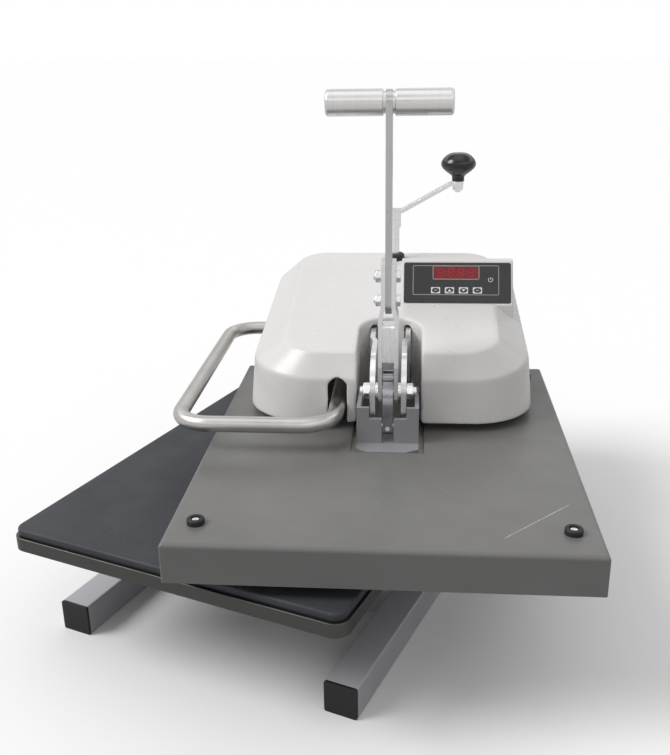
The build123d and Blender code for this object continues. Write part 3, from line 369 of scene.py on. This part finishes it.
def scratch_line(finish, start, end, width):
    """High along a straight line that is drawn on the closed head's plan, in metres from the origin."""
    turn = Matrix.Rotation(asin(ACROSS.y), 2)
    centre = turn @ ((start + end) / 2 - POST.xy) + POST.xy
    angle = Vector((1.0, 0.0)).angle_signed(turn @ (end - start))
    parts = finish.node("ShaderNodeSeparateXYZ")
    local = finish.turned_place(turn=degrees(angle), shift=(-centre.x, -centre.y, 0.0))
    finish.join(local, parts.inputs[0])
    half = (end - start).length / 2
    across = finish.maths("ABSOLUTE", parts.outputs["Y"])
    lengthwise = finish.maths("ABSOLUTE", parts.outputs["X"])
    thin = finish.between(across, width, width * 0.3)
    within = finish.between(lengthwise, half, half * 0.85)
    broken = finish.between(finish.noise(150.0, 2.0), 0.3, 0.55, 0.35, 1.0)
    return finish.maths("MULTIPLY", finish.maths("MULTIPLY", thin, within), broken)


def bracket_paint():
    return painted("bracket_paint", (0.3, 0.3, 0.315), 0.36, (0.62, 0.62, 0.63), coat=0.2).done()


def platen_metal():
    return brushed("platen_metal", (0.6, 0.6, 0.6), 0.38, (0.03, 1.0, 1.0)).done()


def element_steel():
    finish = brushed("element_steel", (0.32, 0.3, 0.28), 0.45, (1.0, 1.0, 1.0))
    return finish.tint(finish.between(finish.noise(40.0), 0.5, 0.7), (0.2, 0.14, 0.1)).done()


def blanket():
    """Woven glass fibre."""
    finish = Finish("blanket", (0.74, 0.71, 0.62), 0.85)
    threads = [
        finish.noise(500.0, 2.0, (1.0, 0.08, 1.0)), finish.noise(500.0, 2.0, (0.08, 1.0, 1.0)),
    ]
    weave = finish.maths("MULTIPLY", *threads)
    finish.tint(finish.between(weave, 0.2, 0.35), (0.5, 0.47, 0.4))
    return finish.bump(weave, 0.6 * MM).done()


def handle_nickel():
    """Satin nickel tube with a fine grain and cloudy gloss."""
    finish = Finish("handle_nickel", (0.6, 0.58, 0.56), 0.34, metallic=1.0)
    finish.tint(finish.between(finish.noise(18.0, 5.0), 0.4, 0.7, 0.0, 0.6), (0.5, 0.48, 0.46))
    fine = finish.noise(2400.0, 2.0, (0.35, 0.35, 1.0))
    finish.roughen(finish.between(fine, 0.3, 0.7, -0.5, 0.5), 0.1)
    finish.roughen(finish.between(finish.noise(60.0), 0.3, 0.7, -0.5, 0.5), 0.08)
    return finish.bump(fine, 0.002 * MM).done()


def grip_metal():
    """Turned aluminium: fine rings round the grip."""
    swing = -asin(ACROSS.y) * 180 / pi
    finish = Finish("grip_metal", (0.8, 0.79, 0.78), 0.32, metallic=1.0)
    rings = finish.noise(900.0, 2.0, (1.0, 0.02, 0.02), swing)
    finish.tint(finish.between(rings, 0.35, 0.7, 0.0, 0.3), (0.66, 0.65, 0.64))
    finish.roughen(finish.between(finish.noise(50.0, 4.0), 0.3, 0.7, -0.5, 0.5), 0.1)
    return finish.bump(rings, 0.002 * MM).soft_edges(0.5 * MM).done()


def black_gloss():
    finish = Finish("black_gloss", (0.004, 0.004, 0.005), 0.16, coat=0.2)
    finish.roughen(finish.between(finish.noise(70.0, 4.0), 0.45, 0.7), 0.12)
    return finish.bump(finish.noise(60.0, 2.0), 0.03 * MM).done()


def panel_film():
    finish = Finish("panel_film", (0.03, 0.031, 0.032), 0.34)
    finish.roughen(finish.between(finish.noise(40.0, 4.0), 0.3, 0.7, -0.5, 0.5), 0.12)
    finish.bump(finish.noise(1800.0, 2.0), 0.02 * MM)
    return finish.soft_edges(0.3 * MM).done()


def display_red():
    """Red filter over a dark display, faintly uneven."""
    finish = Finish("display_red", (0.24, 0.006, 0.01), 0.2, coat=0.3)
    finish.tint(finish.between(finish.noise(140.0, 3.0), 0.4, 0.7), (0.16, 0.004, 0.008))
    return finish.soft_edges(0.3 * MM).done()


def key_white():
    finish = Finish("key_white", (0.78, 0.78, 0.77), 0.4)
    finish.tint(finish.between(finish.noise(300.0), 0.55, 0.75, 0.0, 0.4), (0.66, 0.66, 0.64))
    finish.bump(finish.noise(2000.0, 2.0), 0.02 * MM)
    return finish.soft_edges(0.3 * MM).done()


def black_rubber():
    finish = Finish("black_rubber", (0.014, 0.014, 0.015), 0.48)
    finish.roughen(finish.noise(120.0, 3.0), 0.2)
    return finish.bump(finish.noise(900.0, 3.0), 0.05 * MM).done()


def bronze():
    return brushed("bronze", (0.55, 0.36, 0.17), 0.36, (1.0, 1.0, 0.05)).done()


def board():
    finish = Finish("board", (0.02, 0.13, 0.05), 0.4)
    tracks = finish.between(finish.noise(350.0, 0.0, (1.0, 0.15, 1.0)), 0.5, 0.52)
    return finish.tint(tracks, (0.05, 0.24, 0.1)).bump(tracks, 0.05 * MM).done()


def print_ink(name, colour):
    """Screen-printed ink, slightly uneven."""
    finish = Finish(name, colour, 0.45)
    darker = [channel * 0.8 for channel in colour]
    finish.tint(finish.between(finish.noise(900.0, 3.0), 0.5, 0.75, 0.0, 0.5), darker)
    return finish.bump(finish.noise(2500.0, 2.0), 0.01 * MM).done()


FINISHES = (
    frame_paint, cap_plastic, table_metal, pad_rubber, post_steel, zinc_steel, dark_steel, bar_steel,
    shell_plastic, cover_paint, bracket_paint, platen_metal, element_steel, blanket,
    handle_nickel, grip_metal, black_gloss, panel_film, display_red, key_white, black_rubber,
    bronze, board,
)


# Nodes that don't look like the rest of their material slot
OWN_FINISH = {"lever_bar": "bar_steel", "power_key": "panel_film"}


def paint_cad_nodes():
    """Gives each CAD node the finish that has the name of its material slot, or its own finish."""
    packed = {m.name: m for m in bpy.data.materials}
    for material in packed.values():
        material.name = "packed_" + material.name
    finishes = {build.__name__: build() for build in FINISHES}
    for name, node in frame["nodes"].items():
        for place in node.material_slots:
            slot = place.material.name.removeprefix("packed_")
            place.material = finishes[OWN_FINISH.get(name, slot)]
    return finishes


# ---------------------------------------------------------------- mesh helpers


def add_piece(name, mesh, material, body):
    piece = bpy.data.objects.new(name, mesh)
    bpy.context.scene.collection.objects.link(piece)
    mesh.materials.clear()
    mesh.materials.append(material)
    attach(piece, body)
    return piece


def mesh_from(name, points, faces):
    mesh = bpy.data.meshes.new(name)
    mesh.from_pydata([tuple(p) for p in points], [], faces)
    mesh.validate()
    mesh.update()
    return mesh


def apply_modifiers(piece):
    graph = bpy.context.evaluated_depsgraph_get()
    final = bpy.data.meshes.new_from_object(piece.evaluated_get(graph), depsgraph=graph)
    piece.modifiers.clear()
    piece.data = final


def welded_copy(node_name, mesh_name):
    """The node's mesh with coincident points joined, as a new mesh."""
    mesh = frame["nodes"][node_name].data.copy()
    mesh.name = mesh_name
    work = bmesh.new()
    work.from_mesh(mesh)
    bmesh.ops.remove_doubles(work, verts=work.verts, dist=WELD_DISTANCE)
    work.to_mesh(mesh)
    work.free()
    return mesh


# ---------------------------------------------------------------- pieces that replace CAD nodes


def rim_distance(point):
    """Plan distance from the outline of the lever recess."""
    across = (point - POST).dot(ACROSS)
    along = (point - POST).dot(BACK) + POST.y
    return abs(hypot(across, max(0.0, along - RECESS_END_Y)) - RECESS_HALF)


def rounding_group(piece):
    """Marks the skin close to the recess, where the moulding's edge is rounder."""
    group = piece.vertex_groups.new(name="rim")
    for vertex in piece.data.vertices:
        distance = rim_distance(vertex.co)
        if distance < RIM_REACH:
            group.add([vertex.index], 1 - distance / RIM_REACH, "REPLACE")


def smooth(piece, steps, group=""):
    softener = piece.modifiers.new("smooth", "SMOOTH")
    softener.factor = 0.5
    softener.iterations = steps
    softener.vertex_group = group
    apply_modifiers(piece)


def shell_moulding(finishes):
    """The head shell with slightly broken edges, and a rounder edge along the lever recess."""
    mesh = welded_copy("head_shell", "shell_moulding")
    piece = add_piece("shell_moulding", mesh, finishes["shell_plastic"], "head")
    remesh = piece.modifiers.new("remesh", "REMESH")
    remesh.mode = "VOXEL"
    remesh.voxel_size = SHELL_VOXEL
    remesh.use_smooth_shade = True
    smooth(piece, SHELL_SMOOTH_STEPS)
    rounding_group(piece)
    smooth(piece, RIM_SMOOTH_STEPS, "rim")
    piece.vertex_groups.clear()
    piece.data.materials.clear()
    piece.data.materials.append(finishes["shell_plastic"])
    piece.data.shade_smooth()
    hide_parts("head_shell")


def rounded_rectangle(half_x, half_y, radius, steps=8):
    """Points round a rectangle with arc corners, anticlockwise."""
    points = []
    centres = ((1, 1), (-1, 1), (-1, -1), (1, -1))
    for quarter, (side_x, side_y) in enumerate(centres):
        for i in range(steps + 1):
            angle = (quarter + i / steps) * pi / 2
            points.append((
                side_x * (half_x - radius) + radius * cos(angle),
                side_y * (half_y - radius) + radius * sin(angle),
            ))
    return points


def ring_surface(rings):
    """Faces between rings of equal length, closed by one face at each end."""
    count = len(rings[0])
    points = [p for ring in rings for p in ring]
    faces = [tuple(reversed(range(count)))]
    for level in range(len(rings) - 1):
        base = level * count
        for i in range(count):
            j = (i + 1) % count
            faces.append((base + i, base + j, base + count + j, base + count + i))
    faces.append(tuple(range((len(rings) - 1) * count, len(rings) * count)))
    return points, faces


def table_pad_sheet(finishes):
    """Sponge sheet: soft top edge, slightly bulging side and a faint crown."""
    low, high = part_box("table_pad")
    centre = (low + high) / 2
    half = (high - low) / 2
    top = high.z
    thickness = high.z - low.z
    edge = PAD_EDGE
    levels = [(0.5 * MM, low.z), (0.0, low.z + 0.3 * thickness), (0.0, top - edge - PAD_CROWN)]
    for step in range(1, 6):
        angle = step / 5 * pi / 2
        levels.append((edge * (1 - cos(angle)), top - PAD_CROWN - edge * (1 - sin(angle))))
    for share in (0.06, 0.15, 0.3, 0.5, 0.75, 0.95):
        inset = edge + share * (half.x - edge - 4 * MM)
        levels.append((inset, top - PAD_CROWN * (1 - share) ** 2))
    rings = []
    for inset, z in levels:
        radius = max(PAD_CORNER - inset, 1.0 * MM)
        outline = rounded_rectangle(half.x - inset, half.y - inset, radius)
        rings.append([(centre.x + x, centre.y + y, z) for x, y in outline])
    mesh = mesh_from("pad_sheet", *ring_surface(rings))
    mesh.shade_smooth()
    piece = add_piece("pad_sheet", mesh, finishes["pad_rubber"], "base")
    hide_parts("table_pad")


def glass_blanket(finishes):
    """Insulation with an uneven, fibrous face."""
    mesh = welded_copy("insulation_blanket", "glass_blanket")
    work = bmesh.new()
    work.from_mesh(mesh)
    bmesh.ops.triangulate(work, faces=work.faces)
    bmesh.ops.subdivide_edges(work, edges=work.edges, cuts=3, use_grid_fill=True)
    work.to_mesh(mesh)
    work.free()
    piece = add_piece("glass_blanket", mesh, finishes["blanket"], "platen")
    texture = bpy.data.textures.new("blanket_lumps", "CLOUDS")
    texture.noise_scale = LUMP_SIZE
    lumps = piece.modifiers.new("lumps", "DISPLACE")
    lumps.texture = texture
    lumps.texture_coords = "LOCAL"
    lumps.strength = LUMP_HEIGHT
    lumps.mid_level = 1.0
    apply_modifiers(piece)
    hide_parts("insulation_blanket")


def coil_springs(finishes):
    """The return springs, copied as their own piece riding with the head; the real springs shorten as the
    platen is pressed down, this copy keeps one length.
    """
    mesh = frame["nodes"]["return_springs"].data.copy()
    piece = add_piece("spring_coils", mesh, finishes["zinc_steel"], "head")
    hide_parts("return_springs")
    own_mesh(piece)


# ---------------------------------------------------------------- panel print


class Panel:
    """Flat printing surface: u runs across the panel, v up its slope, n out of it."""

    def __init__(self):
        self.n = -Vector(joint("set_press")["axis"]).normalized()
        self.u = ACROSS
        self.v = self.n.cross(self.u)
        points = node_points("face_panel")
        along_u = [p.dot(self.u) for p in points]
        along_v = [p.dot(self.v) for p in points]
        self.centre_u = (min(along_u) + max(along_u)) / 2
        self.centre_v = (min(along_v) + max(along_v)) / 2

    def place_of(self, node):
        points = node_points(node)
        along_u = [p.dot(self.u) for p in points]
        along_v = [p.dot(self.v) for p in points]
        middle_u = (min(along_u) + max(along_u)) / 2 - self.centre_u
        middle_v = (min(along_v) + max(along_v)) / 2 - self.centre_v
        return middle_u, middle_v, max(along_u) - min(along_u), max(along_v) - min(along_v)

    def ink(self, name, shapes, node, body, material):
        """Thin printed shapes on a node's outer face. A shape is one loop or an outer and inner loop."""
        level = reach(node, self.n) + PRINT_LIFT
        points, faces = [], []
        for shape in shapes:
            self.add_shape(points, faces, shape, level)
        mesh = mesh_from(name, points, faces)
        return add_piece(name, mesh, material, body)

    def add_shape(self, points, faces, shape, level):
        outer, inner = shape
        first = len(points)
        count = len(outer)
        loops = [(outer, 0.0), (outer, PRINT_THICKNESS)]
        if inner:
            loops += [(inner, PRINT_THICKNESS), (inner, 0.0)]
        for loop, lift in loops:
            points += [self.at(u, v, level + lift) for u, v in loop]
        levels = len(loops) if inner else 1
        for k in range(levels):
            base, upper = first + k * count, first + (k + 1) % len(loops) * count
            for i in range(count):
                j = (i + 1) % count
                faces.append((base + i, base + j, upper + j, upper + i))
        if not inner:
            faces.append(tuple(range(first + count, first + 2 * count)))
            faces.append(tuple(reversed(range(first, first + count))))

    def at(self, u, v, level):
        return (self.centre_u + u) * self.u + (self.centre_v + v) * self.v + level * self.n


def ellipse(cu, cv, ru, rv, start=0.0, sweep=360.0, steps=40):
    whole = sweep >= 360.0
    count = steps if whole else steps + 1
    angles = [radians(start + sweep * i / steps) for i in range(count)]
    return [(cu + ru * cos(a), cv + rv * sin(a)) for a in angles]


def box_loop(cu, cv, half_u, half_v, radius):
    return [(cu + x, cv + y) for x, y in rounded_rectangle(half_u, half_v, radius, 5)]


def frame_loops(cu, cv, half_u, half_v, radius, line):
    return box_loop(cu, cv, half_u, half_v, radius), box_loop(
        cu, cv, half_u - line, half_v - line, max(radius - line, 0.2 * MM)
    )


def arc_bars(cu, cv, radius, line, start, sweep):
    """An arc drawn as short four-sided pieces."""
    outer = ellipse(cu, cv, radius, radius, start, sweep, 24)
    inner = ellipse(cu, cv, radius - line, radius - line, start, sweep, 24)
    return [
        ([inner[i], outer[i], outer[i + 1], inner[i + 1]], None) for i in range(len(outer) - 1)
    ]


def triangle(cu, cv, half_width, height, direction):
    tip = cv + direction * height / 2
    base = cv - direction * height / 2
    loop = [(cu - half_width, base), (cu + half_width, base), (cu, tip)]
    return loop if direction > 0 else loop[::-1]


def bar(cu, cv, half_u, half_v):
    return [
        (cu - half_u, cv - half_v), (cu + half_u, cv - half_v),
        (cu + half_u, cv + half_v), (cu - half_u, cv + half_v),
    ]


def segment(cu, cv, length, width, upright_bar):
    """One bevelled bar of a seven-segment digit."""
    a, b = length / 2, width / 2
    loop = [(-a, 0), (-a + b, -b), (a - b, -b), (a, 0), (a - b, b), (-a + b, b)]
    if upright_bar:
        loop = [(-v, u) for u, v in loop]
    return [(cu + u, cv + v) for u, v in loop]


def digit(cu, cv, width, height):
    line = width * 0.19
    half_w, quarter_h = width / 2, height / 4
    bars = [segment(cu, cv + k * height / 2, width * 0.86, line, False) for k in (-1, 0, 1)]
    for side in (-1, 1):
        for level in (-1, 1):
            bars.append(segment(cu + side * half_w, cv + level * quarter_h, height * 0.44, line, True))
    return bars


def panel_print(finishes):
    panel = Panel()
    white = print_ink("white_ink", (0.72, 0.72, 0.72))
    grey = print_ink("grey_ink", (0.36, 0.36, 0.36))
    black = print_ink("black_ink", (0.02, 0.02, 0.02))
    lit = print_ink("digit_red", (0.34, 0.015, 0.02))

    border_u, border_v = (BORDER_LEFT + BORDER_RIGHT) / 2, (BORDER_LOW + BORDER_HIGH) / 2
    border = frame_loops(
        border_u, border_v, (BORDER_RIGHT - BORDER_LEFT) / 2, (BORDER_HIGH - BORDER_LOW) / 2,
        1.8 * MM, BORDER_LINE,
    )
    u, v, width, height = panel.place_of("display_window")
    window = frame_loops(
        u, v, width / 2 + DISPLAY_FRAME, height / 2 + DISPLAY_FRAME, 2.2 * MM, DISPLAY_FRAME * 0.9
    )
    panel.ink("panel_lines", [border, window], "face_panel", "head", grey)

    pitch = width / (DIGIT_COUNT + 0.5)
    bars = []
    for i in range(DIGIT_COUNT):
        digit_u = u + (i - (DIGIT_COUNT - 1) / 2) * pitch
        bars += [(loop, None) for loop in digit(digit_u, v, pitch * 0.5, height * 0.62)]
    panel.ink("display_digits", bars, "display_window", "head", lit)

    for key, button in (
        ("set_key", "set_button"), ("up_key", "up_button"),
        ("down_key", "down_button"), ("enter_key", "enter_button"),
    ):
        u, v, width, height = panel.place_of(key)
        oval = ellipse(u, v, width * 0.4, height * 0.38)
        panel.ink(key + "_oval", [(oval, None)], key, button, black)
        size = height * 0.42
        if key == "up_key":
            mark = triangle(u, v, size * 0.75, size, 1)
        elif key == "down_key":
            mark = triangle(u, v, size * 0.75, size, -1)
        else:
            mark = bar(u, v, width * 0.16, height * 0.045)
        sign = panel.ink(key + "_mark", [(mark, None)], key, button, white)
        sign.data.transform(Matrix.Translation(panel.n * PRINT_THICKNESS * 1.5))

    u, v, width, height = panel.place_of("power_key")
    power = arc_bars(u, v, width * 0.4, width * 0.1, 125, 290)
    power.append((bar(u, v + height * 0.2, width * 0.05, height * 0.2), None))
    panel.ink("power_sign", power, "power_key", "power_button", white)


# ---------------------------------------------------------------- stage


def floor():
    """Floor that is white to the camera, greyer in reflections and dark to bounced light."""
    half = FLOOR_HALF
    corners = [(-half, -half, 0), (half, -half, 0), (half, half, 0), (-half, half, 0)]
    mesh = mesh_from("floor", corners, [(0, 1, 2, 3)])
    piece = bpy.data.objects.new("floor", mesh)
    bpy.context.scene.collection.objects.link(piece)
    finish = Finish("floor_paint", (FLOOR_BOUNCE,) * 3, 0.7)
    rays = finish.node("ShaderNodeLightPath").outputs
    finish.tint(rays["Is Glossy Ray"], (FLOOR_MIRRORED,) * 3)
    finish.tint(rays["Is Camera Ray"], (FLOOR_SEEN,) * 3)
    mesh.materials.append(finish.done())


def sun(name, direction, spread, strength):
    """Soft parallel light that shines along a direction."""
    light = bpy.data.lights.new(name, "SUN")
    light.angle = radians(spread)
    light.energy = strength
    lamp = bpy.data.objects.new(name, light)
    bpy.context.scene.collection.objects.link(lamp)
    lamp.rotation_euler = Vector(direction).to_track_quat("-Z", "Y").to_euler()


# Sky that metal mirrors: sine of the height above the horizon, and brightness there
MIRRORED_SKY = (
    (0.0, 1.0), (0.1, 0.95), (0.16, 0.35), (0.3, 0.3), (0.38, 1.15), (0.62, 1.2), (0.7, 0.45),
    (0.86, 0.6), (1.0, 1.3),
)


def mirrored_sky(tree, height):
    """Brightness of the banded sky at a height, as a colour ramp."""
    ramp = tree.nodes.new("ShaderNodeValToRGB")
    stops = ramp.color_ramp.elements
    for stop, (place, level) in zip((stops[0], stops[-1]), (MIRRORED_SKY[0], MIRRORED_SKY[-1])):
        stop.position, stop.color = place, (level, level, level, 1.0)
    for place, level in MIRRORED_SKY[1:-1]:
        stops.new(place).color = (level, level, level, 1.0)
    tree.links.new(height, ramp.inputs["Fac"])
    return ramp.outputs["Color"]


def chosen_sky(tree, when, otherwise, then):
    """One brightness where a kind of ray asks for it, and another for all other rays."""
    mixer = tree.nodes.new("ShaderNodeMix")
    tree.links.new(when, mixer.inputs["Factor"])
    tree.links.new(otherwise, mixer.inputs["A"])
    if isinstance(then, float):
        mixer.inputs["B"].default_value = then
    else:
        tree.links.new(then, mixer.inputs["B"])
    return mixer.outputs["Result"]


def studio_light():
    sun("key_light", KEY_DIRECTION, KEY_SPREAD, KEY_STRENGTH)
    sun("fill_light", FILL_DIRECTION, FILL_SPREAD, FILL_STRENGTH)
    world = bpy.data.worlds.new("studio")
    world.use_nodes = True
    tree = world.node_tree
    background = tree.nodes["Background"]
    background.inputs["Color"].default_value = (1.0, 1.0, 1.0, 1.0)
    parts = tree.nodes.new("ShaderNodeSeparateXYZ")
    tree.links.new(tree.nodes.new("ShaderNodeTexCoord").outputs["Generated"], parts.inputs[0])
    soft = tree.nodes.new("ShaderNodeMapRange")
    soft.inputs["To Min"].default_value = SKY_LOW
    soft.inputs["To Max"].default_value = SKY_HIGH
    tree.links.new(parts.outputs["Z"], soft.inputs["Value"])
    rays = tree.nodes.new("ShaderNodeLightPath").outputs
    mirrored = mirrored_sky(tree, parts.outputs["Z"])
    strength = chosen_sky(tree, rays["Is Glossy Ray"], soft.outputs[0], mirrored)
    strength = chosen_sky(tree, rays["Is Camera Ray"], strength, SKY_SEEN)
    tree.links.new(strength, background.inputs["Strength"])
    bpy.context.scene.world = world
    bpy.context.scene.view_settings.view_transform = "Standard"


def camera():
    data = bpy.data.cameras.new("camera")
    data.sensor_width = 36.0
    data.lens = CAMERA_LENS
    view = bpy.data.objects.new("camera", data)
    bpy.context.scene.collection.objects.link(view)
    turn = Matrix.Rotation(radians(CAMERA_YAW), 4, "Z")
    tilt = Matrix.Rotation(radians(90 - CAMERA_PITCH), 4, "X")
    roll = Matrix.Rotation(radians(CAMERA_ROLL), 4, "Z")
    view.matrix_world = Matrix.Translation(CAMERA_PLACE) @ turn @ tilt @ roll
    bpy.context.scene.camera = view


finishes = paint_cad_nodes()
shell_moulding(finishes)
table_pad_sheet(finishes)
glass_blanket(finishes)
coil_springs(finishes)
panel_print(finishes)
floor()
studio_light()
camera()
